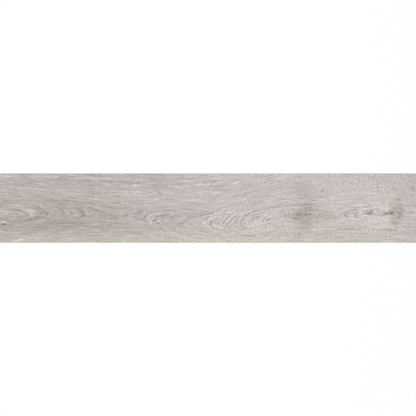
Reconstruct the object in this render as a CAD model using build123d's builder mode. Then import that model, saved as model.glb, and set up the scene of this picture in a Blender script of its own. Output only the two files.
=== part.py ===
"""A plank-format porcelain floor tile: pressed and fired as one piece, ground square, keyed on its back."""

import os

from build123d import *

# The fired and ground tile, millimetres
tile_length = 1199.0  # along X, the way the printed wood grain runs
tile_width = 199.0  # along Y
tile_thickness = 9.0  # from the bedding face up to the walking face
arris_bevel = 0.6  # bevel ground round the walking face
foot_ease = 0.3  # light break that the wheel leaves round the bedding face

# The key relief that the press punch leaves in the back, for the adhesive to grip
key_rim = 10.0  # least plain border round the pockets
key_pitch = 22.5  # from one pocket to the next, along and across
key_rib = 4.0  # rib left between two pockets, at the bedding face
key_depth = 0.7
key_draft = 35.0  # degrees, lean of the pocket walls that lets the punch lift out

# Worked out from the sizes above
pocket_mouth = key_pitch - key_rib
pockets_along = int((tile_length - 2 * key_rim + key_rib) // key_pitch)
pockets_across = int((tile_width - 2 * key_rim + key_rib) // key_pitch)

# One pocket of the back, as the boss on the punch that presses it
with BuildPart() as punch_boss:
    with BuildSketch():
        Rectangle(pocket_mouth, pocket_mouth)
    extrude(amount=key_depth, taper=key_draft)

# The tile, with its bedding face on the ground plane and its grain along X
with BuildPart() as tile:
    with BuildSketch():
        Rectangle(tile_length, tile_width)
    extrude(amount=tile_thickness)
    bedding_face = tile.faces().sort_by(Axis.Z)[0]
    walking_face = tile.faces().sort_by(Axis.Z)[-1]
    chamfer(walking_face.edges(), length=arris_bevel)
    chamfer(bedding_face.edges(), length=foot_ease)
    with GridLocations(key_pitch, key_pitch, pockets_along, pockets_across):
        add(punch_boss.part, mode=Mode.SUBTRACT)

tile.part.label = "tile"

os.makedirs("parts", exist_ok=True)
export_step(tile.part, "parts/tile.step")
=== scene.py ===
import itertools
import math

import bpy
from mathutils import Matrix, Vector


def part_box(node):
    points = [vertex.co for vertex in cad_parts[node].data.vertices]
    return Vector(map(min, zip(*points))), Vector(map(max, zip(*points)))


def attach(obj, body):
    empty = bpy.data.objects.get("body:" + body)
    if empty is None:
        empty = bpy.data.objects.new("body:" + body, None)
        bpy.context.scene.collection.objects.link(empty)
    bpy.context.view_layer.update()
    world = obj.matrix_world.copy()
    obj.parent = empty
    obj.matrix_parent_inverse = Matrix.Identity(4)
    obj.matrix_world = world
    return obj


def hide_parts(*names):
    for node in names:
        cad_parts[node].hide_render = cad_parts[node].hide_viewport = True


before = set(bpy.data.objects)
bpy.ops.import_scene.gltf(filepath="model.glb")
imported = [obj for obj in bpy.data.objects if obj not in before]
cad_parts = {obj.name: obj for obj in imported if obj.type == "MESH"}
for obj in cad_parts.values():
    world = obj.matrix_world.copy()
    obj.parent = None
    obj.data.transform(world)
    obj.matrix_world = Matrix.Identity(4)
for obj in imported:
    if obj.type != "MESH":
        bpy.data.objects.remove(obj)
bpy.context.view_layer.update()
tileLow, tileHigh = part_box("tile")
mm = 0.001
photoWidth = 416
halfPixel = 0.5  # whole numbers are the middles of the photograph's pixels
pixel = (tileHigh.x - tileLow.x) / photoWidth  # metres that one pixel covers
middleRow = 208.05  # photograph row of the tile's long centre line
print("frame loaded, tile", [round(side / mm, 2) for side in tileHigh - tileLow], "mm")


# Helpers for modelling and for node trees

def deselect():
    if bpy.context.object and bpy.context.object.mode == "EDIT":
        bpy.ops.object.mode_set(mode="OBJECT")
    bpy.ops.object.select_all(action="DESELECT")


def rgb(red, green, blue):  # screen colour, 0 to 255, as a linear colour
    def linear(level):
        share = level / 255
        return share / 12.92 if share <= 0.04045 else ((share + 0.055) / 1.055) ** 2.4
    return (linear(red), linear(green), linear(blue), 1)


def plug(tree, socket, value):
    if isinstance(value, bpy.types.NodeSocket):
        tree.links.new(value, socket)
    else:
        socket.default_value = value


def put(tree, kind, inputs=None, **settings):
    node = tree.nodes.new(kind)
    for name, value in settings.items():
        setattr(node, name, value)
    for name, value in (inputs or {}).items():
        plug(tree, node.inputs[name], value)
    return node


def calc(tree, operation, *values):
    return put(tree, "ShaderNodeMath", dict(enumerate(values)), operation=operation).outputs[0]


def vectorCalc(tree, operation, *values):
    return put(tree, "ShaderNodeVectorMath", dict(enumerate(values)), operation=operation).outputs[0]


def total(tree, first, *others):
    for value in others:
        first = calc(tree, "ADD", first, value)
    return first


def between(tree, value, low, high, toLow=0.0, toHigh=1.0, ease="SMOOTHSTEP"):
    inputs = {0: value, 1: low, 2: high, 3: toLow, 4: toHigh}
    clamped = ease == "LINEAR"  # a smooth step stays in range by itself
    return put(tree, "ShaderNodeMapRange", inputs, interpolation_type=ease, clamp=clamped).outputs[0]


def noise(tree, place, perMetre, detail=2.0, rough=0.5, shift=(0, 0, 0)):
    moved = vectorCalc(tree, "ADD", vectorCalc(tree, "MULTIPLY", place, perMetre), shift)
    return put(tree, "ShaderNodeTexNoise", {"Vector": moved, "Scale": 1.0, "Detail": detail, "Roughness": rough},
               noise_dimensions="3D").outputs[0]


def drawnCurve(tree, value, points, low, high, handle="AUTO_CLAMPED"):  # drawn through (share, value) points
    node = put(tree, "ShaderNodeFloatCurve", {"Factor": 1.0, "Value": value})
    curve = node.mapping.curves[0]
    while len(curve.points) < len(points):
        curve.points.new(0.5, 0.5)
    for point, (share, height) in zip(curve.points, sorted(points)):
        point.location = (share, (height - low) / (high - low))
        point.handle_type = handle
    node.mapping.update()
    return between(tree, node.outputs[0], 0.0, 1.0, low, high, ease="LINEAR")


def swing(tree, value, strength):  # a noise about its middle
    return calc(tree, "MULTIPLY", calc(tree, "SUBTRACT", value, 0.5), strength)


def mixColour(tree, factor, first, second, blend="MIX"):
    node = put(tree, "ShaderNodeMix", {0: factor, 6: first, 7: second}, data_type="RGBA", blend_type=blend)
    return node.outputs[2]


def newGroup(name, kind, inputs, outputs):
    group = bpy.data.node_groups.new(name, kind + "NodeTree")
    for socket, socketType in inputs.items():
        group.interface.new_socket(socket, in_out="INPUT", socket_type="NodeSocket" + socketType)
    for socket, socketType in outputs.items():
        group.interface.new_socket(socket, in_out="OUTPUT", socket_type="NodeSocket" + socketType)
    return group, put(group, "NodeGroupInput").outputs, put(group, "NodeGroupOutput").inputs


def useGroup(tree, group, inputs):
    kind = "ShaderNodeGroup" if tree.bl_idname == "ShaderNodeTree" else "GeometryNodeGroup"
    return put(tree, kind, inputs, node_tree=group).outputs


def newMaterial(name):
    material = bpy.data.materials.new(name)
    material.use_nodes = True
    tree = material.node_tree
    shader = next(node for node in tree.nodes if node.type == "BSDF_PRINCIPLED")
    place = put(tree, "ShaderNodeTexCoord").outputs["Object"]
    return material, tree, shader, place


# The printed oak: how the sawn log ran under the board, in millimetres against the share of the length

oak = {
    "heartLine": [(0.0, -10), (0.11, -15.5), (0.20, -17), (0.25, -21), (0.34, -27), (0.43, -34.5), (0.49, -41),
                  (0.53, -45.5), (0.58, -45.5), (0.62, -37), (0.66, -26), (0.70, -17), (0.80, -14), (1.0, -9)],
    "heartDepth": [(0.0, 43.8), (0.07, 47.3), (0.11, 53), (0.20, 67.4), (0.25, 71.2), (0.29, 71.8), (0.335, 70),
                   (0.365, 67), (0.43, 60.8), (0.47, 57), (0.52, 50.7), (0.58, 36.9), (0.625, 19.3), (0.70, 18),
                   (0.78, 26), (0.83, 23), (0.865, 18), (0.91, 13), (1.0, 11.5)],
    "firstRing": 47.2,  # distance from the heart of the ring that counts as number 0
    "innerRing": 3.3,  # width of a ring near the heart
    "outerRing": 5.6,  # and of one in the sapwood
    "sapwood": 72.0,  # distance from the heart where the rings widen
    "apexRings": {-8: 0.5, -7: 0.3, -6: 0.6, -5: 0.3, -4: 0.4, -3: 0.9, -2: 0.7, -1: 0.8, 0: 0.9, 1: 0.8, 2: 1.0,
                  3: 0.3, 4: 0.7, 5: 0.8, 6: 0.8, 7: 0.7},  # how dark where they turn across the board
    "armRings": {-6: 0.3, -5: 0.1, -4: 0.1, -3: 1.0, -2: 0.1, -1: 0.2, 0: 0.7, 1: 0.2, 2: 0.6, 3: 0.15, 4: 0.9,
                 5: 0.2, 6: 0.7, 7: 0.5},  # and where they run along it
    "plainRing": 0.5,  # darkness of the others, and how it swings from one to the next
    "ringSwing": 0.35,
    "apexReach": 22.0,
    "contrast": [(0.0, 0.6), (0.25, 0.6), (0.36, 0.62), (0.46, 0.72), (0.52, 1.0), (0.62, 1.0), (0.72, 0.75),
                 (1.0, 0.75)],
    "lowerSide": 0.3,  # what is left of the lines well below the heart
    "ringsDrawn": (-20, 34),
    "flowDepth": 40.0,
    "wander": 6.0,
    "shiver": 2.6,
    "uneven": 3.4,  # how much the ring widths differ
    "heartSpan": (-60, 20),  # lowest and highest that the two drawn lines may go
    "depthSpan": (0, 100),
    "swingPerRing": 2.4,
    "flowSoft": 200.0,  # keeps the flow even at the heart line
    "fibre": {"perMetre": (16.0, 300.0, 0.0), "detail": 2.0, "rough": 0.6, "shift": (0.0, 4.0, 0.0)},
}

# Knots: column and row in the photograph, reach in pixels, how far they push the rings aside (mm) and quieten them
knots = {
    "browned": {"at": (300, 213), "reach": (13.9, 8.3), "push": 9.0, "quiet": 0.85},
    "eye": {"at": (368.5, 211.5), "reach": (5.5, 3.1), "push": 4.0, "quiet": 0.6},
    "hooked": {"at": (395.5, 211.5), "reach": (9.0, 6.9), "push": 8.0, "quiet": 0.8},
    "leftEnd": {"at": (0.5, 221.5), "reach": (5.5, 2.8), "push": 4.0, "quiet": 0.5},
    "chevrons": {"at": (226, 219), "reach": (20, 7), "push": 0.0, "quiet": 0.75},  # no knot, it only quietens the rings
}


def photoPlace(tree, place):  # from metres on the tile to columns and rows of the photograph
    middle = (photoWidth / 2 - halfPixel, middleRow - halfPixel, 0)
    return vectorCalc(tree, "MULTIPLY_ADD", place, (1 / pixel, -1 / pixel, 0), middle)


def knotGroup(kind):
    group, given, asked = newGroup("knotFalloff" + kind, kind, {"Place": "Vector", "Centre": "Vector",
                                   "Reach": "Vector"}, {"Falloff": "Float"})
    away = vectorCalc(group, "DIVIDE", vectorCalc(group, "SUBTRACT", given["Place"], given["Centre"]),
                      given["Reach"])
    distance = put(group, "ShaderNodeVectorMath", {0: away}, operation="LENGTH").outputs["Value"]
    squared = calc(group, "POWER", distance, 2.0)
    plug(group, asked["Falloff"], calc(group, "EXPONENT", calc(group, "MULTIPLY", squared, -1.0)))
    return group


def ringGroup(kind, falloff):
    group, given, asked = newGroup("growthRings" + kind, kind, {"Place": "Vector"},
                                   {"Grain": "Vector", "Flow": "Vector", "Line": "Float", "Limed": "Float",
                                    "Strength": "Float"})
    place = given["Place"]
    slow = noise(group, place, (5.0, 16.0, 0.0), detail=2.0, shift=(3.1, 7.7, 0.0))
    fast = noise(group, place, (26.0, 95.0, 0.0), detail=1.0, shift=(11.3, 2.9, 0.0))
    parts = put(group, "ShaderNodeSeparateXYZ", {0: place}).outputs
    share = between(group, parts["X"], tileLow.x, tileHigh.x, ease="LINEAR")
    heart = drawnCurve(group, share, oak["heartLine"], *oak["heartSpan"])
    depth = drawnCurve(group, share, oak["heartDepth"], *oak["depthSpan"])
    across = calc(group, "SUBTRACT", calc(group, "DIVIDE", parts["Y"], mm), heart)
    acrossSquared = calc(group, "MULTIPLY", across, across)
    radius = calc(group, "SQRT", calc(group, "MULTIPLY_ADD", depth, depth, acrossSquared))
    photo = photoPlace(group, place)
    calm = 1.0
    for knot in knots.values():
        push = useGroup(group, falloff, {"Place": photo, "Centre": (*knot["at"], 0),
                                         "Reach": (*knot["reach"], 1)})["Falloff"]
        radius = calc(group, "MULTIPLY_ADD", push, -knot["push"], radius)
        wider = calc(group, "POWER", push, 0.35)
        quieter = between(group, wider, 0.0, 1.0, 1.0, 1 - knot["quiet"], ease="LINEAR")
        calm = calc(group, "MULTIPLY", calm, quieter)
    wander = swing(group, slow, oak["wander"])
    shiver = swing(group, fast, oak["shiver"])
    outwards = put(group, "ShaderNodeCombineXYZ", {"X": radius}).outputs[0]
    widths = noise(group, outwards, (0.21, 0.0, 0.0), detail=1.0)
    uneven = swing(group, widths, oak["uneven"])
    radius = total(group, radius, wander, shiver, uneven)
    inner = calc(group, "SUBTRACT", calc(group, "MINIMUM", radius, oak["sapwood"]), oak["firstRing"])
    outer = calc(group, "MAXIMUM", calc(group, "SUBTRACT", radius, oak["sapwood"]), 0.0)
    rings = calc(group, "ADD", calc(group, "DIVIDE", inner, oak["innerRing"]),
                 calc(group, "DIVIDE", outer, oak["outerRing"]))
    fraction = calc(group, "FRACT", rings)
    rise = between(group, fraction, 0.68, 1.0)  # slow into the late wood
    fall = between(group, fraction, 0.0, 0.18, 1.0, 0.0)  # and sharp out of it
    limed = calc(group, "MULTIPLY", between(group, fraction, 0.1, 0.3),
                 between(group, fraction, 0.3, 0.62, 1.0, 0.0))
    low, high = oak["ringsDrawn"]
    ringShare = between(group, rings, low, high, ease="LINEAR")
    strengths = []
    for chosen in (oak["armRings"], oak["apexRings"]):
        drawn = []
        for ring in range(low, high + 1):
            usual = oak["plainRing"] + oak["ringSwing"] * math.sin(oak["swingPerRing"] * ring)
            drawn.append(((ring - low) / (high - low), chosen.get(ring, usual)))
        strengths.append(drawnCurve(group, ringShare, drawn, 0, 1, handle="VECTOR"))
    atApex = between(group, calc(group, "ABSOLUTE", across), 0.3 * oak["apexReach"], oak["apexReach"], 1.0, 0.0)
    chosen = {0: atApex, 2: strengths[0], 3: strengths[1]}
    strength = put(group, "ShaderNodeMix", chosen, data_type="FLOAT").outputs[0]
    # each ring fades in and out on its own along the board
    ownRing = calc(group, "MULTIPLY", calc(group, "ROUND", rings), 5.37)
    course = put(group, "ShaderNodeCombineXYZ", {"X": parts["X"], "Y": ownRing}).outputs[0]
    fading = between(group, noise(group, course, (32.0, 1.0, 0.0), detail=2.0, rough=0.6), 0.33, 0.62, 0.15, 1.0)
    contrast = drawnCurve(group, share, oak["contrast"], 0, 1)
    lower = between(group, across, -46.0, -10.0, oak["lowerSide"], 1.0)
    farOut = between(group, across, 25.0, 110.0, 1.0, 0.5)
    for quieter in (fading, contrast, lower, farOut, calm):
        strength = calc(group, "MULTIPLY", strength, quieter)
    fromHeart = calc(group, "MULTIPLY", radius, mm)
    grain = put(group, "ShaderNodeCombineXYZ", {"X": parts["X"], "Y": fromHeart}).outputs[0]
    plug(group, asked["Grain"], grain)  # metres along the board and out from the heart
    # metres along the board and out from the heart line, bent as the rings are
    deeper = calc(group, "SUBTRACT", calc(group, "MULTIPLY", depth, depth), oak["flowDepth"] ** 2)
    spread = calc(group, "MULTIPLY_ADD", across, across, oak["flowDepth"] ** 2 + oak["flowSoft"])
    bent = calc(group, "SQRT", calc(group, "ADD", calc(group, "DIVIDE", deeper, spread), 1.0))
    flow = calc(group, "MULTIPLY", calc(group, "MULTIPLY", across, bent), mm)
    plug(group, asked["Flow"], put(group, "ShaderNodeCombineXYZ", {"X": parts["X"], "Y": flow}).outputs[0])
    plug(group, asked["Line"], calc(group, "MAXIMUM", rise, fall))
    plug(group, asked["Limed"], limed)
    plug(group, asked["Strength"], strength)
    return group


# Grain lines drawn over the rings: start, a point on the way, end, how dark or pale, half width in pixels
grainLines = {
    "leftCathedral": [
        ((15, 218), (23, 216.5), (30, 213.8), -0.17, 1.1),
        ((22, 211.4), (26.5, 212.2), (29.6, 214.4), -0.12, 1.1),
        ((16, 211), (20.5, 213), (26, 214.8), 0.11, 1.6),
        ((16, 208.4), (20.5, 209.3), (25, 210.8), -0.08, 1.0),
        ((14, 204.3), (19, 205.3), (24.5, 206.4), 0.14, 1.2),
        ((31, 205), (38, 206.3), (43, 210.8), -0.13, 1.2),
        ((42, 209.3), (45.3, 211.6), (46.8, 214.6), -0.11, 1.2),
        ((46.9, 213.4), (45.6, 215.9), (39.5, 217), -0.11, 1.1),
        ((46, 215.3), (40, 216.8), (29, 218.9), -0.13, 1.1),
        ((31, 218.6), (25, 220), (18, 221.2), -0.09, 1.1),
        ((23, 203.7), (34, 202.7), (48, 204.2), -0.08, 0.9),
        ((22, 202.2), (33, 203.1), (43, 205.4), 0.1, 0.9),
        ((0, 200.8), (12, 201.3), (24, 200.6), -0.07, 0.9),
        ((44, 200.3), (56, 200.6), (80, 201), -0.07, 0.9),
        ((63, 209.3), (66, 211), (69.5, 213.8), 0.08, 1.0),
        ((50, 204), (60, 209), (65, 215.5), -0.06, 1.0),
        ((70.2, 211.5), (72, 214.2), (70.6, 218), -0.05, 1.1),
        ((71, 205.7), (79, 209.2), (84.5, 214.6), -0.08, 1.2),
        ((84.5, 213.5), (82.5, 215.6), (73, 216.8), -0.08, 1.1),
        ((85, 216), (89.5, 216.3), (95, 215.8), -0.1, 1.0),
        ((88, 206.5), (97, 209.8), (106, 212.8), -0.1, 1.1),
        ((104, 213.2), (114, 215.2), (129, 214), -0.09, 1.0),
        ((94, 206.8), (98, 207.6), (101.5, 208.9), 0.1, 1.1),
        ((84, 212), (89, 212.8), (93.5, 214.2), 0.06, 1.1),
        ((102, 219.4), (109, 217.8), (121, 218.3), -0.12, 1.1),
        ((119, 218.2), (126, 217.2), (133, 216.4), -0.08, 1.0),
        ((24, 219.2), (28, 219.2), (32, 218.7), -0.1, 0.9),
        ((120, 216), (132, 213.6), (144, 210.2), -0.14, 1.0),
        ((0, 229.8), (3, 229.9), (9, 229.6), -0.08, 1.0),
        ((32, 200.4), (50, 200.2), (72, 200.8), -0.06, 1.6),
        ((74, 214.2), (76.5, 214.9), (79, 214.6), 0.08, 1.0),
        ((97, 221.5), (98.8, 220.5), (100.5, 219.8), 0.1, 1.0),
    ],
    "straightGrain": [
        ((68, 222.9), (82, 222.6), (97, 222.2), -0.08, 0.9),
        ((78, 225), (92, 225.1), (104, 225), -0.09, 0.9),
        ((46, 225.1), (58, 225.3), (72, 226), -0.08, 0.9),
        ((40, 222.9), (50, 222.3), (62, 222.7), -0.07, 0.9),
        ((102, 221.9), (111, 222.1), (121, 222.3), -0.09, 0.9),
        ((95, 227), (100, 227), (104.5, 227), -0.08, 0.9),
        ((111, 227), (116, 227), (122, 227.2), -0.08, 0.9),
        ((79, 223.8), (92, 223.8), (104, 223.8), 0.07, 0.8),
        ((47, 228.2), (55, 228.6), (63, 228.3), 0.04, 0.9),
        ((94, 228.7), (99, 228.6), (104, 228.5), 0.05, 0.8),
        ((124, 222.8), (127, 222.6), (131, 223.2), -0.09, 1.0),
        ((127, 224.4), (129.5, 224), (132, 223.2), 0.08, 0.9),
    ],
    "rightTip": [
        ((136, 210.8), (139, 211), (143.5, 210.2), -0.17, 1.1),
        ((143.3, 219.8), (144.8, 215.8), (151, 212.1), -0.24, 1.2),
        ((149, 212.7), (157, 210.9), (176, 209.9), -0.25, 1.1),
        ((138.5, 219), (141, 219.1), (143.8, 218.6), -0.18, 1.1),
        ((143.3, 219.3), (145.5, 221.4), (149, 222.3), -0.09, 1.0),
        ((146.5, 219.5), (149.5, 215.6), (157, 213), 0.09, 1.2),
        ((157, 213), (165, 212.2), (175, 212), 0.07, 1.0),
        ((138.5, 220.5), (142.5, 222), (147, 222.7), 0.11, 1.0),
        ((153.5, 217), (160, 215.5), (169, 214.2), -0.17, 1.1),
        ((164.8, 223.5), (161.6, 219.8), (167.5, 217.3), -0.18, 1.1),
        ((166, 217.6), (172, 216.5), (183, 215.8), -0.17, 1.0),
        ((151.6, 221.3), (154, 219.9), (156.5, 218.4), -0.24, 1.3),
        ((156, 221.8), (157.5, 222.7), (160, 222.8), -0.24, 0.9),
        ((182.5, 219.9), (190, 217.9), (198, 215), -0.17, 1.1),
        ((197, 215.2), (205, 213.9), (213, 211.8), -0.17, 1.2),
        ((208, 213.3), (214, 211.6), (222, 209.1), -0.16, 1.1),
        ((206, 215.6), (213, 213.9), (219.5, 211.3), 0.09, 1.0),
        ((205.5, 217.6), (210, 215.9), (214.8, 214.6), -0.11, 1.0),
        ((221.3, 212.7), (226, 210.5), (233, 208.7), -0.13, 1.0),
        ((183, 215.6), (192, 214), (207, 210.8), -0.14, 1.0),
        ((160.5, 227.5), (163, 229), (166, 231.2), -0.11, 0.9),
        ((162.5, 226.5), (165, 228.2), (168, 230.4), 0.07, 0.9),
    ],
    "chevrons": [
        ((200.5, 223.1), (205, 222.3), (209, 218.8), 0.13, 1.5),
        ((208, 219.2), (211, 217.4), (217, 216.2), 0.12, 1.2),
        ((204, 223.6), (207, 225.6), (212, 227.3), 0.08, 1.0),
        ((198.3, 223.2), (200, 222.3), (201.5, 221.2), -0.14, 1.1),
        ((203, 220.6), (205.3, 219.2), (208, 216.6), -0.12, 1.0),
        ((210.6, 226), (210.4, 222.5), (213.5, 219.2), -0.19, 1.2),
        ((213, 220), (214.5, 219.3), (217, 216.8), -0.15, 1.2),
        ((211, 226.6), (214.5, 228.2), (221, 229.4), -0.14, 1.0),
        ((211.7, 224.2), (215.5, 225.5), (223, 228.6), 0.14, 1.1),
        ((217.2, 224.6), (218.7, 222), (222.6, 217.6), -0.15, 1.1),
        ((219.3, 225), (221.3, 221.5), (225.5, 216.8), 0.09, 1.0),
        ((219.4, 225.4), (224.8, 219.6), (230.6, 213.4), -0.2, 1.1),
        ((222.6, 225), (229, 218.4), (236.5, 213), 0.15, 1.1),
        ((225.2, 225.2), (230.2, 219.7), (238.8, 214.4), -0.22, 1.1),
        ((229.4, 224.4), (234, 219), (243, 212.9), 0.15, 1.1),
        ((232, 225), (235.6, 219.8), (241.2, 214.3), -0.2, 1.1),
        ((236.2, 224), (239.4, 218.6), (243.5, 214.3), 0.13, 1.0),
        ((238.9, 224.2), (241.8, 218.8), (246.2, 214), -0.19, 1.1),
        ((243.5, 216), (249, 212.9), (260, 209.6), -0.19, 1.0),
        ((256, 210.8), (267, 208), (290, 204.4), -0.17, 0.9),
        ((243.5, 213), (247, 211.4), (252, 209.8), 0.08, 1.0),
        ((244.5, 221.5), (248, 217.8), (254, 214.6), 0.08, 1.1),
        ((249.3, 222), (253, 219), (259.5, 214.6), -0.17, 1.3),
        ((253.5, 222.5), (257.5, 219.3), (263, 215.6), 0.05, 1.1),
        ((260, 216.3), (263.5, 216.4), (266.5, 215.2), 0.08, 0.9),
        ((230.6, 223), (233, 226), (237, 229), 0.11, 1.0),
        ((232.8, 224), (235, 226.2), (238.5, 228.2), -0.1, 0.9),
        ((235.4, 223.8), (237.8, 226), (240.2, 228.4), 0.1, 0.9),
        ((239.8, 222.4), (239.2, 223.8), (240.2, 225.2), -0.09, 1.0),
        ((255.8, 221.6), (257.4, 219.4), (260.4, 217), -0.2, 1.0),
        ((258.3, 221.4), (260.2, 219.2), (263, 216.8), 0.07, 0.9),
        ((260.5, 221.6), (262.7, 219), (267.4, 216.2), -0.2, 1.0),
        ((263.4, 221), (265.4, 219), (268.2, 217.2), 0.11, 0.9),
        ((266.2, 221.6), (267.3, 219.7), (270.4, 218.2), -0.2, 1.0),
        ((199, 229.3), (212, 231.3), (226, 232.4), -0.07, 1.6),
        ((239, 234.8), (247, 235), (257, 235.6), -0.11, 1.3),
        ((204, 227.7), (207, 228), (211, 228.2), -0.09, 0.9),
    ],
    "knotLines": [
        ((284, 205.4), (294, 204.6), (304, 204.5), -0.09, 1.0),
        ((303, 204.6), (307, 203.8), (312.5, 204.9), -0.15, 1.3),
        ((311, 205), (319, 205.3), (330, 204.7), -0.12, 1.0),
        ((308, 209.1), (318, 209.7), (332, 210), -0.06, 1.0),
        ((294.8, 212.7), (299, 212.4), (303.6, 212.5), -0.11, 1.2),
        ((294.8, 214.6), (298, 214.7), (301.4, 214.4), -0.1, 1.2),
        ((306, 211.8), (305.6, 213.8), (305, 216), -0.12, 1.2),
        ((308.3, 213.6), (310, 213.4), (312, 213.4), -0.08, 1.1),
        ((290.5, 218.4), (295, 218), (299, 217.4), -0.15, 1.0),
        ((344.2, 212.6), (344.7, 215), (346.2, 217.6), -0.18, 1.6),
        ((358.2, 211), (355.8, 213.4), (354.2, 216.8), -0.22, 1.7),
        ((345, 212.2), (350, 210.2), (357, 208.3), -0.26, 1.1),
        ((347.5, 216.4), (350.5, 216.2), (353.4, 215.6), 0.12, 1.1),
        ((359, 215.2), (362, 213.7), (365.5, 212.5), -0.13, 1.0),
        ((336, 208.8), (341, 207.9), (346, 206.8), -0.1, 0.9),
        ((362, 206.5), (367, 206), (371, 205), -0.06, 0.9),
        ((379.5, 215), (383, 214.4), (388, 212.6), -0.1, 1.1),
        ((391, 212.5), (395, 211.2), (399, 210.6), -0.06, 1.4),
        ((388.5, 207.2), (396, 207.4), (404, 208.6), -0.06, 1.6),
        ((361.5, 214), (366, 213.3), (371, 212.4), -0.1, 1.0),
        ((368, 213.2), (370.9, 211.6), (372.8, 209), -0.2, 1.1),
        ((387.7, 189), (388, 199), (389.2, 209), -0.05, 1.0),
        ((385.6, 197), (386, 203), (386.8, 210), 0.09, 1.6),
        ((389.4, 214), (391.5, 220), (395, 226), -0.05, 1.2),
        ((398.9, 211.5), (399.2, 214.6), (398.4, 218.4), -0.09, 1.4),
        ((386.5, 189.3), (391, 188.8), (397.5, 188.1), -0.14, 1.0),
        ((393.5, 199.2), (397, 199), (401, 199.2), -0.12, 0.9),
        ((405, 212.3), (409, 212.2), (414, 212.9), -0.1, 1.0),
        ((387, 186), (390, 186), (394, 186.2), -0.11, 0.9),
        ((334, 229.2), (345, 228.4), (358, 228.8), -0.09, 1.2),
        ((311, 232.8), (320, 232.3), (334, 231.4), -0.09, 1.0),
        ((373, 230.2), (385, 229.8), (398, 228.9), -0.1, 1.1),
        ((371.5, 213.4), (378, 215.5), (385, 214.2), -0.1, 1.0),
        ((376.6, 176), (376.8, 185), (376.5, 195), -0.06, 0.9),
        ((286.8, 232), (287.2, 234), (287, 236.6), -0.09, 1.0),
        ((294.2, 233), (294, 235), (293, 237), -0.1, 1.0),
    ],
    "limedEdge": [
        ((1, 176), (8, 176), (17, 175.6), 0.2, 1.1),
        ((0, 177.3), (8, 177.6), (15, 177.1), -0.1, 0.9),
        ((28, 176.2), (36, 175.8), (46, 176.6), 0.17, 1.1),
        ((44, 176.8), (52, 176.6), (60, 176), 0.16, 1.1),
        ((45, 178.8), (54, 178.9), (63, 176.8), -0.11, 1.0),
        ((16, 188), (28, 187.5), (46, 188.8), 0.09, 1.4),
        ((44, 188.7), (52, 189.4), (64, 189.7), 0.06, 1.1),
        ((72, 177.2), (84, 177.8), (97, 177.3), 0.14, 1.1),
        ((98, 178), (112, 178.7), (132, 179.4), 0.09, 1.0),
        ((82, 179.6), (87, 179.5), (92, 179.6), -0.12, 0.9),
        ((99, 180), (107, 180.6), (116, 182), -0.1, 1.2),
        ((104, 184), (108, 183.9), (113, 184), 0.13, 1.0),
        ((119, 185.6), (123, 185.4), (128, 185.6), 0.11, 1.4),
        ((130, 184.8), (139, 184.5), (151, 185.1), 0.15, 1.5),
        ((134, 182.7), (138, 182.8), (142, 182.6), -0.11, 0.9),
        ((132, 179.9), (141, 179.7), (152, 179.3), 0.13, 1.0),
        ((159, 180.6), (168, 181.1), (178, 181.3), 0.13, 1.0),
        ((177, 181.4), (186, 180.8), (199, 179.2), 0.14, 1.0),
        ((164, 184), (174, 186.2), (186, 186), 0.11, 1.1),
        ((184, 186.2), (192, 184.8), (206, 184.2), 0.12, 1.1),
        ((190.5, 186), (193, 186.1), (196, 185.8), -0.16, 0.9),
        ((118, 193), (122.5, 193), (128, 193), 0.11, 1.6),
        ((155.6, 189.4), (158.2, 191.4), (160.8, 194.6), -0.24, 0.8),
        ((111, 203), (116, 202.6), (121, 203.4), -0.12, 1.0),
        ((103, 205.2), (108, 206), (113, 206), -0.11, 1.0),
        ((134, 204.1), (139, 203.8), (144.5, 203.6), -0.13, 1.0),
        ((200, 181.6), (209, 181.2), (218, 180.4), -0.1, 1.0),
        ((206, 184.2), (211, 183.7), (217, 183.6), 0.13, 1.0),
        ((210, 193.2), (215, 192.7), (221, 192.6), 0.13, 1.1),
        ((231, 182.8), (235, 182.4), (240, 180.8), 0.13, 1.0),
    ],
}


def strokeGroup(kind):  # a bowed line with soft edges and fading ends; plain numbers keep the shader small
    group, given, asked = newGroup("grainStroke" + kind, kind, {"Column": "Float", "Row": "Float",
                                   "AlongColumn": "Float", "AlongRow": "Float", "AlongStart": "Float",
                                   "AsideColumn": "Float", "AsideRow": "Float", "AsideStart": "Float",
                                   "Sag": "Float", "Slope": "Float", "Width": "Float"}, {"Mask": "Float"})
    along = calc(group, "MULTIPLY_ADD", given["Row"], given["AlongRow"], given["AlongStart"])
    along = calc(group, "MULTIPLY_ADD", given["Column"], given["AlongColumn"], along)
    aside = calc(group, "MULTIPLY_ADD", given["Row"], given["AsideRow"], given["AsideStart"])
    aside = calc(group, "MULTIPLY_ADD", given["Column"], given["AsideColumn"], aside)
    squared = calc(group, "MULTIPLY", along, along)
    aside = calc(group, "MULTIPLY_ADD", squared, given["Sag"], aside)
    slope = calc(group, "MULTIPLY", along, given["Slope"])
    steep = calc(group, "SQRT", calc(group, "MULTIPLY_ADD", slope, slope, 1.0))
    aside = calc(group, "ABSOLUTE", calc(group, "DIVIDE", aside, steep))
    body = between(group, aside, 0.1, given["Width"], 1.0, 0.0)
    ends = between(group, squared, 0.35, 1.1, 1.0, 0.0)
    plug(group, asked["Mask"], calc(group, "MULTIPLY", body, ends))
    return group


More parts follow.
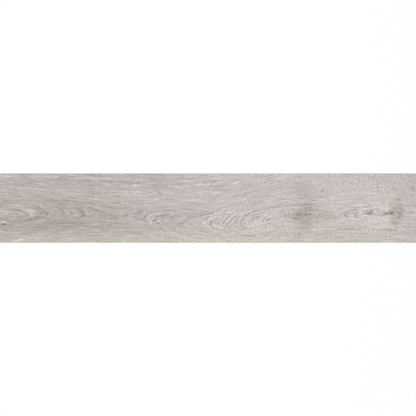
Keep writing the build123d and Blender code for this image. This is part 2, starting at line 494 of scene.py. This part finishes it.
def drawStrokes(tree, column, row, place, stroke):  # darkness of all the drawn lines together
    drawn = 0.0
    for start, way, end, shade, width in itertools.chain(*grainLines.values()):
        centre = ((start[0] + end[0]) / 2, (start[1] + end[1]) / 2)
        half = math.dist(start, end) / 2
        cosine = (end[0] - start[0]) / 2 / half
        sine = (end[1] - start[1]) / 2 / half
        u = (way[0] - centre[0]) * cosine + (way[1] - centre[1]) * sine
        v = (way[1] - centre[1]) * cosine - (way[0] - centre[0]) * sine
        sag = v / (1 - (u / half) ** 2)
        mask = useGroup(tree, stroke, {
            "Column": column, "Row": row, "Sag": sag, "Slope": -2 * sag / half,
            "AlongColumn": cosine / half, "AlongRow": sine / half,
            "AlongStart": -(centre[0] * cosine + centre[1] * sine) / half,
            "AsideColumn": -sine, "AsideRow": cosine,
            "AsideStart": centre[0] * sine - centre[1] * cosine - sag, "Width": width + 0.25})["Mask"]
        drawn = calc(tree, "MULTIPLY_ADD", mask, shade, drawn)
    worn = noise(tree, place, (90.0, 200.0, 0.0), detail=2.0, rough=0.6, shift=(1.0, 8.0, 0.0))
    return calc(tree, "MULTIPLY", drawn, between(tree, worn, 0.3, 0.6, 0.75, 1.1))


# Fields, stains and spots of the print: place and reach in pixels, how far they darken or pale, and a tint
plainStain = {"ragged": 0.8, "soft": 0.6, "turn": 0}
stains = {
    "leftField": {"at": (0, 205), "reach": (190, 60), "ragged": 0.5, "shade": -0.105,
                  "tint": (254.5, 255, 254.5)},
    "heartwood": {"at": (30, 212), "reach": (92, 19), "ragged": 0.6, "soft": 0.35, "shade": -0.05,
                  "tint": (254, 254, 248.5)},
    "underHeart": {"at": (50, 223.5), "reach": (76, 4.5), "soft": 0.7, "shade": -0.052,
                   "tint": (255, 254, 254)},
    "coolTop": {"at": (215, 172), "reach": (330, 8.5), "ragged": 0.6, "soft": 0.5, "shade": 0.014,
                "tint": (250, 255, 254)},
    "coolSlope": {"at": (250, 186), "reach": (58, 12), "ragged": 1.0, "soft": 0.8, "shade": 0.0,
                  "tint": (252, 255, 254)},
    "warmFoot": {"at": (200, 246), "reach": (330, 8), "ragged": 0.5, "soft": 0.4, "shade": 0.03,
                 "tint": (255, 255, 243)},
    "coolFoot": {"at": (364, 236.4), "reach": (30, 4.5), "soft": 0.4, "shade": 0.012,
                 "tint": (250, 255, 252)},
    "coolPatch": {"at": (217, 236), "reach": (27, 3.2), "soft": 0.5, "shade": 0.0, "tint": (251, 255, 254)},
    "middleField": {"at": (238, 220), "reach": (40, 10), "ragged": 0.7, "shade": 0.045},
    "paleField": {"at": (367, 207), "reach": (42, 22), "ragged": 0.5, "soft": 0.4, "shade": 0.035,
                  "tint": (255, 254, 255)},
    "topBand": {"at": (105, 181), "reach": (100, 8), "soft": 0.7, "shade": -0.062},
    "lowBand": {"at": (85, 230), "reach": (72, 5), "soft": 0.7, "shade": -0.045,
                "tint": (255, 254.5, 254.5)},
    "rightEnd": {"at": (412, 211), "reach": (16, 28), "ragged": 0.6, "soft": 0.7, "shade": -0.04,
                 "tint": (255, 254.5, 254)},
    "slopeShade": {"at": (280, 188), "reach": (38, 12), "ragged": 0.7, "soft": 0.7, "shade": -0.035},
    "paleBand": {"at": (150, 194), "reach": (38, 5), "soft": 0.7, "shade": 0.03},
    "lowMiddle": {"at": (178, 225), "reach": (58, 9), "ragged": 0.7, "soft": 0.7, "shade": -0.02},
    "tongue": {"at": (64, 212.5), "reach": (28, 6), "ragged": 0.7, "soft": 0.7, "shade": -0.045},
    "knotHalo": {"at": (306, 213), "reach": (17.5, 7.4), "ragged": 1.0, "soft": 0.85, "shade": -0.08,
                 "tint": (252.8, 253.4, 246)},
    "knotCore": {"at": (298.5, 213.6), "reach": (7, 3.4), "ragged": 0.9, "soft": 0.8, "shade": -0.02,
                 "tint": (253.5, 251, 254)},
    "knotSide": {"at": (308, 214), "reach": (4.4, 2.2), "ragged": 0.9, "soft": 0.8, "shade": -0.025,
                 "tint": (254, 252, 254)},
    "knotBand": {"at": (302, 205), "reach": (9, 36), "ragged": 0.5, "shade": -0.055,
                 "tint": (255, 254, 254)},
    "knotFoot": {"at": (304, 222), "reach": (11, 6), "ragged": 0.9, "soft": 0.8, "shade": -0.065,
                 "tint": (255, 254, 252)},
    "knotTail": {"at": (325, 216), "reach": (14, 4), "ragged": 1.4, "soft": 0.7, "shade": -0.09},
    "endPatch": {"at": (395.6, 211.5), "reach": (7.6, 14), "turn": -8, "ragged": 0.7, "soft": 0.28, "shade": -0.078,
                 "tint": (254, 254.5, 251.5)},
    "endVeil": {"at": (398, 198), "reach": (11, 11), "ragged": 0.9, "soft": 0.55, "shade": 0.01,
                "tint": (255, 255, 253)},
    "hookShade": {"at": (396.5, 212), "reach": (5.5, 6.5), "ragged": 0.9, "shade": -0.065,
                  "tint": (254.5, 254.5, 252.5)},
    "hookFoot": {"at": (395, 222.4), "reach": (2.4, 1.6), "ragged": 1.0, "soft": 0.7, "shade": -0.11,
                 "tint": (255, 254, 251)},
    "eye": {"at": (369.2, 212.6), "reach": (3.6, 2.3), "soft": 0.7, "shade": -0.17,
            "tint": (252, 254, 251)},
    "eyeFoot": {"at": (381, 218.4), "reach": (10, 2.4), "ragged": 1.0, "soft": 0.7, "shade": 0.02,
                "tint": (255, 255, 250)},
    "footShade": {"at": (112, 238), "reach": (24, 6), "soft": 0.7, "shade": -0.03},
    "tipSpot": {"at": (44, 212), "reach": (1.9, 1.2), "shade": -0.08, "tint": (255, 254, 250)},
    "tipEnd": {"at": (47, 214), "reach": (1.5, 1.2), "shade": -0.05, "tint": (255, 254, 250)},
    "arcSpot": {"at": (71, 213.6), "reach": (1.2, 1.6), "shade": -0.03, "tint": (255, 254, 250)},
    "arcDot": {"at": (64, 216), "reach": (1.6, 1.2), "shade": -0.06, "tint": (255, 254, 250)},
    "bendFoot": {"at": (83.8, 215), "reach": (1.6, 1.2), "shade": -0.025, "tint": (255, 254, 250)},
    "armDot": {"at": (90.6, 207), "reach": (1.6, 1.0), "shade": -0.03, "tint": (255, 254, 250)},
    "firstSpot": {"at": (385.6, 213.2), "reach": (1.9, 1.2), "soft": 0.5, "shade": -0.2,
                  "tint": (253, 254, 251)},
    "hookHead": {"at": (390.6, 212.2), "reach": (2.2, 1.7), "soft": 0.5, "shade": -0.24,
                 "tint": (253, 253, 250)},
    "hookSpot": {"at": (399.6, 213.6), "reach": (1.6, 1.5), "shade": -0.13, "tint": (254, 254, 250)},
    "leftKnot": {"at": (4.0, 223.9), "reach": (2.2, 1.2), "soft": 0.5, "shade": -0.2,
                 "tint": (255, 252, 250)},
    "leftKnotFoot": {"at": (1.8, 227.4), "reach": (2.0, 1.0), "shade": -0.1, "tint": (255, 250, 248)},
    "leftGlint": {"at": (3.2, 221.4), "reach": (2.8, 1.0), "shade": 0.3},
    "footGlint": {"at": (19.5, 239.4), "reach": (4.2, 0.9), "turn": 14, "ragged": 0.9, "shade": 0.26,
                  "tint": (255, 255, 252)},
    "footFleck": {"at": (13, 240), "reach": (1.6, 0.8), "shade": 0.2, "tint": (255, 255, 252)},
    "lineEnd": {"at": (100.6, 220.9), "reach": (1.9, 1.4), "shade": -0.08, "tint": (255, 254, 250)},
    "bend": {"at": (80.2, 210.6), "reach": (1.3, 1.6), "shade": -0.03, "tint": (255, 254, 250)},
    "limeFleck": {"at": (150.3, 222.2), "reach": (1.5, 1.3), "soft": 0.5, "shade": 0.17,
                  "tint": (255, 255, 252)},
    "limeDot": {"at": (152.6, 218.5), "reach": (1.5, 0.9), "soft": 0.5, "shade": 0.16,
                "tint": (255, 255, 252)},
    "limeTail": {"at": (158.2, 220.9), "reach": (1.7, 1.1), "turn": -30, "soft": 0.5, "shade": 0.11,
                 "tint": (255, 255, 252)},
    "lowSpot": {"at": (180, 222.6), "reach": (3.0, 1.3), "soft": 0.5, "shade": -0.19,
                "tint": (255, 254, 252)},
    "highSpot": {"at": (321.3, 190.8), "reach": (1.6, 1.1), "shade": -0.16, "tint": (255, 254, 252)},
    "dash": {"at": (313.5, 199.8), "reach": (2.2, 0.9), "shade": -0.13, "tint": (255, 254, 252)},
    "footSpot": {"at": (298.5, 233.8), "reach": (1.3, 1.6), "shade": -0.15, "tint": (255, 254, 252)},
    "farSpot": {"at": (411.8, 188), "reach": (1.9, 1.2), "shade": -0.15, "tint": (255, 254, 252)},
}


def stainGroup():  # soft ragged patch, strongest at its centre
    group, given, asked = newGroup("stain", "Shader", {"Column": "Float", "Row": "Float", "Ragged": "Float",
                                   "LongColumn": "Float", "LongRow": "Float", "LongStart": "Float",
                                   "WideColumn": "Float", "WideRow": "Float", "WideStart": "Float",
                                   "Soft": "Float"}, {"Mask": "Float"})
    long = calc(group, "MULTIPLY_ADD", given["Row"], given["LongRow"], given["LongStart"])
    long = calc(group, "MULTIPLY_ADD", given["Column"], given["LongColumn"], long)
    wide = calc(group, "MULTIPLY_ADD", given["Row"], given["WideRow"], given["WideStart"])
    wide = calc(group, "MULTIPLY_ADD", given["Column"], given["WideColumn"], wide)
    distance = calc(group, "SQRT", calc(group, "MULTIPLY_ADD", long, long, calc(group, "MULTIPLY", wide, wide)))
    distance = calc(group, "ADD", distance, given["Ragged"])
    start = calc(group, "SUBTRACT", 1.0, given["Soft"])
    end = calc(group, "ADD", 1.0, given["Soft"])
    plug(group, asked["Mask"], between(group, distance, start, end, 1.0, 0.0))
    return group


def layStains(tree, column, row, place, stain):  # what all the stains together add to the shade, and their tint
    torn = calc(tree, "SUBTRACT", noise(tree, place, (22.0, 60.0, 0.0), detail=3.0, rough=0.6), 0.5)
    shade = 0.0
    tint = rgb(255, 255, 255)
    for ownValues in stains.values():
        mark = {**plainStain, **ownValues}
        at, reach, turn = mark["at"], mark["reach"], math.radians(mark["turn"])
        cosine, sine = math.cos(turn), math.sin(turn)
        mask = useGroup(tree, stain, {
            "Column": column, "Row": row, "Soft": mark["soft"],
            "Ragged": calc(tree, "MULTIPLY", torn, mark["ragged"]),
            "LongColumn": cosine / reach[0], "LongRow": -sine / reach[0],
            "LongStart": (at[1] * sine - at[0] * cosine) / reach[0],
            "WideColumn": sine / reach[1], "WideRow": cosine / reach[1],
            "WideStart": -(at[0] * sine + at[1] * cosine) / reach[1]})["Mask"]
        shade = calc(tree, "MULTIPLY_ADD", mask, mark["shade"], shade)
        if "tint" in mark:
            tint = mixColour(tree, mask, tint, rgb(*mark["tint"]), blend="MULTIPLY")
    return shade, tint


# How strongly each layer darkens or pales the print, where some of them lie, and its colours
ink = {
    "base": 0.515,
    "lateWood": -0.21,
    "limed": 0.14,
    "follow": 0.25,  # fibres that follow the rings
    "fibres": 0.35,
    "hatch": 0.66,
    # painted shade: a darker line along the long edges of the face
    "paintedEdgeShade": -0.06,
    "flecks": (0.33, 0.56),  # towards the left end and the right end
    "streaks": (0.15, 0.54),  # least and most
    "slow": 0.12,
    "hairs": 0.34,
    "pores": -0.16,
    "hatchedColumns": (285.0, 335.0),
    "hatchedRows": (186.0, 204.0),
    "shadedEdgeBand": (0.0945, 0.0985),  # metres from the middle line, where the painted edge shade lies
    "dark": rgb(122, 111, 105),
    "middle": rgb(195.6, 185.6, 183.4),
    "pale": rgb(254, 248, 245),
}


def printedOak(rings, stain, stroke):
    material, tree, shader, place = newMaterial("printedOak")
    photo = put(tree, "ShaderNodeSeparateXYZ", {0: photoPlace(tree, place)}).outputs
    shiver = noise(tree, place, (55.0, 190.0, 0.0), detail=1.0, shift=(4.0, 6.0, 0.0))
    row = calc(tree, "MULTIPLY_ADD", calc(tree, "SUBTRACT", shiver, 0.5), 1.6, photo["Y"])  # lines waver a little
    column = calc(tree, "MULTIPLY_ADD", calc(tree, "SUBTRACT", shiver, 0.5), 0.8, photo["X"])
    stained, tint = layStains(tree, column, row, place, stain)
    grain = useGroup(tree, rings, {"Place": place})
    line = calc(tree, "MULTIPLY", grain["Line"], grain["Strength"])
    limed = calc(tree, "MULTIPLY", grain["Limed"], grain["Strength"])
    # fibres that follow the rings, fibres and flecks along the board, and pores too fine to see from afar
    parts = put(tree, "ShaderNodeSeparateXYZ", {0: place}).outputs
    along = grain["Flow"]
    askew = put(tree, "ShaderNodeMapping", {"Vector": place, "Rotation": (0, 0, -0.5)}).outputs[0]
    follow = noise(tree, grain["Grain"], **oak["fibre"])
    fibres = noise(tree, along, (11.0, 255.0, 0.0), detail=1.0, rough=0.6, shift=(0.0, 4.0, 0.0))
    streaks = noise(tree, along, (26.0, 270.0, 0.0), detail=1.0, rough=0.6, shift=(5.0, 3.0, 0.0))
    flecks = noise(tree, along, (165.0, 280.0, 0.0), detail=1.0, rough=0.6, shift=(8.0, 0.0, 0.0))
    patchy = noise(tree, place, (15.0, 24.0, 0.0), detail=2.0, rough=0.5, shift=(6.0, 1.0, 0.0))
    hatch = noise(tree, askew, (130.0, 255.0, 0.0), detail=1.0, rough=0.6, shift=(3.0, 5.0, 0.0))
    hairs = noise(tree, along, (70.0, 900.0, 0.0), detail=2.0, rough=0.65, shift=(7.0, 5.0, 0.0))
    pores = noise(tree, along, (110.0, 1500.0, 0.0), detail=1.0, rough=0.5, shift=(2.0, 9.0, 0.0))
    slow = noise(tree, place, (2.2, 14.0, 0.0), detail=2.0, rough=0.5, shift=(1.0, 2.0, 0.0))
    hatched = calc(tree, "MULTIPLY", between(tree, column, *ink["hatchedColumns"]),
                   between(tree, row, *ink["hatchedRows"], 1.0, 0.0))
    plain = calc(tree, "MULTIPLY_ADD", hatched, -0.65, 1.0)  # the far corner is hatched rather than streaked
    flecked = calc(tree, "MULTIPLY", between(tree, parts["X"], -0.4, 0.2, *ink["flecks"]), plain)
    streaked = calc(tree, "MULTIPLY", between(tree, patchy, 0.35, 0.65, *ink["streaks"]), plain)
    paintedEdgeShade = between(tree, calc(tree, "ABSOLUTE", parts["Y"]), *ink["shadedEdgeBand"])  # painted shade along the long edges, a darker line where the bevel turns away from the light
    poreMask = between(tree, pores, 0.6, 0.7)
    shade = total(tree, ink["base"],
                  drawStrokes(tree, column, row, place, stroke), stained,
                  calc(tree, "MULTIPLY", line, ink["lateWood"]),
                  calc(tree, "MULTIPLY", limed, ink["limed"]),
                  swing(tree, follow, ink["follow"]),
                  swing(tree, fibres, calc(tree, "MULTIPLY", plain, ink["fibres"])),
                  swing(tree, hatch, calc(tree, "MULTIPLY", hatched, ink["hatch"])),
                  calc(tree, "MULTIPLY", paintedEdgeShade, ink["paintedEdgeShade"]),
                  swing(tree, flecks, flecked),
                  swing(tree, streaks, streaked),
                  swing(tree, slow, ink["slow"]),
                  swing(tree, hairs, ink["hairs"]),
                  calc(tree, "MULTIPLY", poreMask, ink["pores"]))
    ramp = put(tree, "ShaderNodeValToRGB", {0: shade})
    stops = ramp.color_ramp.elements
    stops[0].position, stops[0].color = 0.0, ink["dark"]
    stops[1].position, stops[1].color = 1.0, ink["pale"]
    stops.new(0.5).color = ink["middle"]
    shader.inputs["Specular IOR Level"].default_value = 0.4
    plug(tree, shader.inputs["Base Color"], mixColour(tree, 1.0, ramp.outputs[0], tint, blend="MULTIPLY"))
    plug(tree, shader.inputs["Roughness"], between(tree, shade, 0.2, 0.8, 0.72, 0.58, ease="LINEAR"))
    height = total(tree, calc(tree, "MULTIPLY", line, -0.5), calc(tree, "MULTIPLY", poreMask, -0.8),
                   calc(tree, "MULTIPLY", fibres, 0.5))
    bump = put(tree, "ShaderNodeBump", {"Height": height, "Strength": 0.35, "Distance": 0.12 * mm})
    plug(tree, shader.inputs["Normal"], bump.outputs[0])
    return material


# The bare porcelain of the ground edges and of the back

def speckleGroup():
    group, given, asked = newGroup("bodySpeckle", "Shader", {"Place": "Vector", "Pale": "Color", "Dark": "Color"},
                                   {"Colour": "Color", "Grain": "Float"})
    fine = noise(group, given["Place"], (1500.0, 1500.0, 1500.0), detail=3.0, rough=0.6)
    cloud = noise(group, given["Place"], (14.0, 22.0, 30.0), detail=3.0, rough=0.5)
    specks = between(group, noise(group, given["Place"], (1100.0, 1100.0, 1100.0), detail=0.0), 0.66, 0.76)
    mix = total(group, calc(group, "MULTIPLY", fine, 0.5), calc(group, "MULTIPLY", cloud, 0.5),
                calc(group, "MULTIPLY", specks, 0.25))
    plug(group, asked["Colour"], mixColour(group, between(group, mix, 0.3, 0.85), given["Pale"], given["Dark"]))
    plug(group, asked["Grain"], fine)
    return group


edge = {"pale": rgb(186, 181, 172), "dark": rgb(152, 147, 138)}
back = {"pale": rgb(190, 181, 169), "dark": rgb(158, 147, 134), "wash": rgb(216, 211, 202)}


def groundEdge(speckle):
    material, tree, shader, place = newMaterial("groundEdge")
    body = useGroup(tree, speckle, {"Place": place, "Pale": edge["pale"], "Dark": edge["dark"]})
    wheelMarks = noise(tree, place, (40.0, 40.0, 2600.0), detail=2.0, rough=0.6)
    colour = mixColour(tree, between(tree, wheelMarks, 0.35, 0.7, 0.0, 0.25), body["Colour"], edge["dark"])
    plug(tree, shader.inputs["Base Color"], colour)
    plug(tree, shader.inputs["Roughness"], between(tree, wheelMarks, 0.3, 0.7, 0.5, 0.66))
    height = total(tree, wheelMarks, calc(tree, "MULTIPLY", body["Grain"], 0.4))
    bump = put(tree, "ShaderNodeBump", {"Height": height, "Strength": 0.4, "Distance": 0.05 * mm})
    plug(tree, shader.inputs["Normal"], bump.outputs[0])
    return material


def keyedBack(speckle):
    material, tree, shader, place = newMaterial("keyedBack")
    body = useGroup(tree, speckle, {"Place": place, "Pale": back["pale"], "Dark": back["dark"]})
    z = put(tree, "ShaderNodeSeparateXYZ", {0: place}).outputs["Z"]
    rubbed = noise(tree, place, (60.0, 60.0, 60.0), detail=4.0, rough=0.65)
    onRibs = between(tree, z, 0.05 * mm, 0.3 * mm, 1.0, 0.0)
    wash = calc(tree, "MULTIPLY", onRibs, between(tree, rubbed, 0.36, 0.62, 0.15, 0.85))  # kiln wash on the ribs
    plug(tree, shader.inputs["Base Color"], mixColour(tree, wash, body["Colour"], back["wash"]))
    plug(tree, shader.inputs["Roughness"], between(tree, wash, 0.0, 1.0, 0.74, 0.9))
    height = total(tree, rubbed, calc(tree, "MULTIPLY", body["Grain"], 0.6))
    bump = put(tree, "ShaderNodeBump", {"Height": height, "Strength": 0.5, "Distance": 0.1 * mm})
    plug(tree, shader.inputs["Normal"], bump.outputs[0])
    return material


# The tile itself: walking face with its relief, ground edges and keyed back, one closed skin

tile = {
    "bevel": 0.6 * mm,  # round the walking face
    "ease": 0.3 * mm,  # round the bedding face
    "keyPitch": 22.5 * mm,
    "keyRib": 4.0 * mm,
    "keyDepth": 0.7 * mm,
    "keyDraft": math.radians(35),
    "keysAlong": 52,
    "keysAcross": 8,
    "stepsAlong": 10,  # quads of the walking face to each key, along and across
    "stepsAcross": 19,
    "weld": 0.01 * mm,
    "flat": 0.95,  # upward share of a normal of the walking face
    "down": -0.5,  # and of the back, whose pocket walls lean by more than the next
    "leaning": 0.2,
    "smoothBelow": math.radians(20),
}


def selectEdges(test):  # selects the edges whose two ends pass a test, in edit mode
    bpy.ops.mesh.select_all(action="DESELECT")
    bpy.ops.object.mode_set(mode="OBJECT")
    mesh = bpy.context.object.data
    for line in mesh.edges:
        line.select = all(test(mesh.vertices[end].co) for end in line.vertices)
    bpy.ops.object.mode_set(mode="EDIT")


def keySheet():  # the back: one pocket with half a rib round it, repeated and welded
    deselect()
    bpy.ops.mesh.primitive_plane_add(size=tile["keyPitch"], location=(0, 0, 0))
    sheet = bpy.context.object
    bpy.ops.object.mode_set(mode="EDIT")
    bpy.ops.mesh.flip_normals()  # it looks down
    bpy.ops.mesh.select_mode(type="FACE")
    bpy.ops.mesh.inset(thickness=tile["keyRib"] / 2, use_boundary=True)
    mouth = tile["keyPitch"] - tile["keyRib"]
    floor = mouth - 2 * tile["keyDepth"] * math.tan(tile["keyDraft"])
    bpy.ops.mesh.extrude_region_move(TRANSFORM_OT_translate={"value": (0, 0, tile["keyDepth"])})
    bpy.ops.transform.resize(value=(floor / mouth, floor / mouth, 1), center_override=(0, 0, 0))
    bpy.ops.object.mode_set(mode="OBJECT")
    for count, step in ((tile["keysAlong"], (1, 0, 0)), (tile["keysAcross"], (0, 1, 0))):
        array = sheet.modifiers.new("keys", "ARRAY")
        array.count = count
        array.relative_offset_displace = step
        array.use_merge_vertices = True
        array.merge_threshold = tile["weld"]
        bpy.ops.object.modifier_apply(modifier=array.name)
    halfLength = tile["keysAlong"] * tile["keyPitch"] / 2
    halfWidth = tile["keysAcross"] * tile["keyPitch"] / 2
    bpy.ops.object.mode_set(mode="EDIT")
    bpy.ops.mesh.select_all(action="SELECT")
    firstCell = tile["keyPitch"] / 2
    bpy.ops.transform.translate(value=(firstCell - halfLength, firstCell - halfWidth, 0))
    bpy.ops.mesh.select_mode(type="EDGE")
    near = 0.05 * mm
    selectEdges(lambda at: abs(abs(at.y) - halfWidth) < near)
    bpy.ops.mesh.subdivide(number_cuts=tile["stepsAlong"] - 1)
    selectEdges(lambda at: abs(abs(at.x) - halfLength) < near)
    bpy.ops.mesh.subdivide(number_cuts=tile["stepsAcross"] - 1)
    bpy.ops.object.mode_set(mode="OBJECT")
    return sheet


def walkingFace():  # the face and the ground edges, down to the rim of the back
    length, width, top = tileHigh.x - tileLow.x, tileHigh.y - tileLow.y, tileHigh.z
    bevel, ease = tile["bevel"], tile["ease"]
    deselect()
    bpy.ops.mesh.primitive_grid_add(x_subdivisions=tile["keysAlong"] * tile["stepsAlong"],
                                    y_subdivisions=tile["keysAcross"] * tile["stepsAcross"], size=1,
                                    location=(0, 0, top))
    face = bpy.context.object
    bpy.ops.object.transform_apply(location=True)
    bpy.ops.object.mode_set(mode="EDIT")
    bpy.ops.mesh.select_mode(type="EDGE")
    bpy.ops.transform.resize(value=(length - 2 * bevel, width - 2 * bevel, 1), center_override=(0, 0, 0))
    bpy.ops.mesh.select_all(action="DESELECT")
    bpy.ops.mesh.select_non_manifold()  # the open rim
    inner = (length - 2 * bevel, width - 2 * bevel)
    for drop, outer in ((bevel, (length, width)), (top - bevel - ease, (length, width)),
                        (ease, (length - 2 * ease, width - 2 * ease))):
        bpy.ops.mesh.extrude_region_move(TRANSFORM_OT_translate={"value": (0, 0, -drop)})
        bpy.ops.transform.resize(value=(outer[0] / inner[0], outer[1] / inner[1], 1), center_override=(0, 0, 0))
        inner = outer
    bpy.ops.object.mode_set(mode="OBJECT")
    return face


pressed = {"depth": 0.22, "rings": 0.4, "fibres": 0.5, "lines": -3.2}  # depth in mm, then shares


def embossing(rings, stroke):  # presses the grain of the print into the walking face
    tree, given, asked = newGroup("grainRelief", "Geometry", {"Geometry": "Geometry"}, {"Geometry": "Geometry"})
    place = put(tree, "GeometryNodeInputPosition").outputs[0]
    normal = put(tree, "GeometryNodeInputNormal").outputs[0]
    grain = useGroup(tree, rings, {"Place": place})
    fibres = noise(tree, grain["Grain"], **oak["fibre"])
    lines = calc(tree, "MULTIPLY", grain["Line"], grain["Strength"])
    photo = put(tree, "ShaderNodeSeparateXYZ", {0: photoPlace(tree, place)}).outputs
    drawn = calc(tree, "MULTIPLY", drawStrokes(tree, photo["X"], photo["Y"], place, stroke), pressed["lines"])
    depth = total(tree, calc(tree, "MULTIPLY", lines, pressed["rings"]),
                  calc(tree, "MULTIPLY", fibres, pressed["fibres"]), drawn)
    depth = calc(tree, "MAXIMUM", depth, 0.0)
    depth = calc(tree, "MULTIPLY", calc(tree, "MINIMUM", depth, 1.0), -pressed["depth"] * mm)
    offset = put(tree, "ShaderNodeCombineXYZ", {"Z": depth}).outputs[0]
    flat = calc(tree, "GREATER_THAN", put(tree, "ShaderNodeSeparateXYZ", {0: normal}).outputs["Z"], tile["flat"])
    moved = put(tree, "GeometryNodeSetPosition", {"Geometry": given["Geometry"], "Selection": flat,
                                                  "Offset": offset})
    plug(tree, asked["Geometry"], moved.outputs[0])
    return tree


def makeTile():
    sheet = keySheet()
    face = walkingFace()
    deselect()
    sheet.select_set(True)
    face.select_set(True)
    bpy.context.view_layer.objects.active = face
    bpy.ops.object.join()
    face.name = "plank"
    bpy.ops.object.mode_set(mode="EDIT")
    bpy.ops.mesh.select_mode(type="EDGE")
    bpy.ops.mesh.select_all(action="DESELECT")
    bpy.ops.mesh.select_non_manifold()
    bpy.ops.mesh.bridge_edge_loops()  # the plain rim of the back
    bpy.ops.object.mode_set(mode="OBJECT")
    return face


def layMap(mesh):  # face in two strips at the largest scale, then the back, then the four edges
    length, width = tileHigh.x - tileLow.x, tileHigh.y - tileLow.y
    gap = 0.006
    faceScale = (1 - 2 * gap) / (length / 2)
    backScale = (1 - 2 * gap) / length
    faceStep, backStep, edgeStep = width * faceScale + gap, width * backScale + gap, 0.022
    spots = mesh.uv_layers.new(name="OFBake").data
    for polygon in mesh.polygons:
        for corner in polygon.loop_indices:
            at = mesh.vertices[mesh.loops[corner].vertex_index].co
            u, v = gap + (at.x - tileLow.x) * backScale, gap
            if polygon.material_index == 0:
                right = polygon.center.x > 0
                u = gap + (at.x - (0 if right else tileLow.x)) * faceScale
                v += (at.y - tileLow.y) * faceScale + right * faceStep
            elif polygon.material_index == 2:
                v += (at.y - tileLow.y) * backScale + 2 * faceStep
            else:
                strip = 2 * faceStep + backStep + at.z / tileHigh.z * (edgeStep - gap)
                v += strip + (polygon.center.y > 0) * edgeStep
                if abs(polygon.normal.x) > abs(polygon.normal.y):
                    u = gap + (at.y - tileLow.y) * backScale + (polygon.center.x > 0) * (width * backScale + gap)
                    v = gap + strip + 2 * edgeStep
            spots[corner].uv = (u, v)


ringsOfPrint = ringGroup("Shader", knotGroup("Shader"))
speckle = speckleGroup()
plank = makeTile()
print("tile modelled,", len(plank.data.polygons), "faces")

printed = printedOak(ringsOfPrint, stainGroup(), strokeGroup("Shader"))
for material in (printed, groundEdge(speckle), keyedBack(speckle)):
    plank.data.materials.append(material)
for polygon in plank.data.polygons:
    if polygon.normal.z > tile["flat"]:
        polygon.material_index = 0
    elif polygon.normal.z < tile["down"] or (abs(polygon.normal.z) > tile["leaning"]
                                             and polygon.center.z < tileHigh.z / 2):
        polygon.material_index = 2
    else:
        polygon.material_index = 1
layMap(plank.data)

relief = plank.modifiers.new("relief", "NODES")
relief.node_group = embossing(ringGroup("Geometry", knotGroup("Geometry")), strokeGroup("Geometry"))
deselect()
plank.select_set(True)
bpy.context.view_layer.objects.active = plank
bpy.ops.object.modifier_apply(modifier=relief.name)
bpy.ops.object.shade_smooth_by_angle(angle=tile["smoothBelow"])
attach(plank, "root")
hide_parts("tile")
print("relief pressed and finishes applied")


# The studio: white floor, soft light from above and a camera square over the tile

studio = {
    "floorSize": 40.0,
    "floorColour": (0.95, 0.95, 0.95, 1),
    "glow": 0.86,  # share of the floor that the camera sees as plain white
    "sky": 0.6,
    "softbox": {"at": (-1.4, 0.1, 4.4), "size": 3.6, "power": 121.0},
    "underLamp": {"at": (1.2, -0.8, -4.4), "size": 3.6, "power": 131.0},
    "lens": 85.0,
    "clipEnd": 50,
    "frameWidth": (tileHigh.x - tileLow.x) - 2.0 * mm,
}


def whiteFloor():
    deselect()
    bpy.ops.mesh.primitive_plane_add(size=studio["floorSize"], location=(0, 0, 0))
    floor = bpy.context.object
    floor.name = "floor"
    material, tree, shader, place = newMaterial("whiteFloor")
    tree.nodes.remove(shader)
    plain = put(tree, "ShaderNodeBsdfDiffuse", {"Color": studio["floorColour"]}).outputs[0]
    glow = put(tree, "ShaderNodeEmission", {"Color": (1, 1, 1, 1), "Strength": 1.0}).outputs[0]
    path = put(tree, "ShaderNodeLightPath").outputs
    seen = calc(tree, "MAXIMUM", path["Is Camera Ray"], calc(tree, "MAXIMUM", path["Is Glossy Ray"],
                                                             path["Is Transmission Ray"]))
    whitened = calc(tree, "MULTIPLY", seen, studio["glow"])
    front = put(tree, "ShaderNodeMixShader", {0: whitened, 1: plain, 2: glow})
    under = put(tree, "ShaderNodeBsdfTransparent").outputs[0]  # a camera below the floor sees the tile's back
    behind = put(tree, "ShaderNodeNewGeometry").outputs["Backfacing"]
    clear = calc(tree, "MAXIMUM", behind, path["Is Shadow Ray"])  # and the lamp below lights it
    whole = put(tree, "ShaderNodeMixShader", {0: clear, 1: front.outputs[0], 2: under})
    output = next(node for node in tree.nodes if node.type == "OUTPUT_MATERIAL")
    plug(tree, output.inputs["Surface"], whole.outputs[0])
    floor.data.materials.append(material)


def softLight():
    world = bpy.data.worlds.new("studioSky")
    bpy.context.scene.world = world
    world.use_nodes = True
    tree = world.node_tree
    sky = next(node for node in tree.nodes if node.type == "BACKGROUND")
    path = put(tree, "ShaderNodeLightPath").outputs
    strength = between(tree, path["Is Camera Ray"], 0.0, 1.0, studio["sky"], 1.0, ease="LINEAR")
    sky.inputs["Color"].default_value = (1, 1, 1, 1)
    plug(tree, sky.inputs["Strength"], strength)
    for name in ("softbox", "underLamp"):
        deselect()
        bpy.ops.object.light_add(type="AREA", location=studio[name]["at"])
        lamp = bpy.context.object
        lamp.name = name
        lamp.data.size = studio[name]["size"]
        lamp.data.energy = studio[name]["power"]
        lamp.rotation_euler = (-lamp.location).to_track_quat("-Z", "Y").to_euler()


def squareCamera():
    lens = studio["lens"]
    camera = bpy.data.cameras.new("camera")
    camera.lens = lens
    holder = bpy.data.objects.new("camera", camera)
    bpy.context.scene.collection.objects.link(holder)
    centreRow = (middleRow - photoWidth / 2) * pixel  # the photograph's own middle lies just off the tile's
    holder.location = (0, centreRow, tileHigh.z + studio["frameWidth"] * lens / camera.sensor_width)
    camera.clip_end = studio["clipEnd"]
    bpy.context.scene.camera = holder


whiteFloor()
softLight()
squareCamera()
bpy.context.scene.view_settings.view_transform = "Standard"
print("studio set")
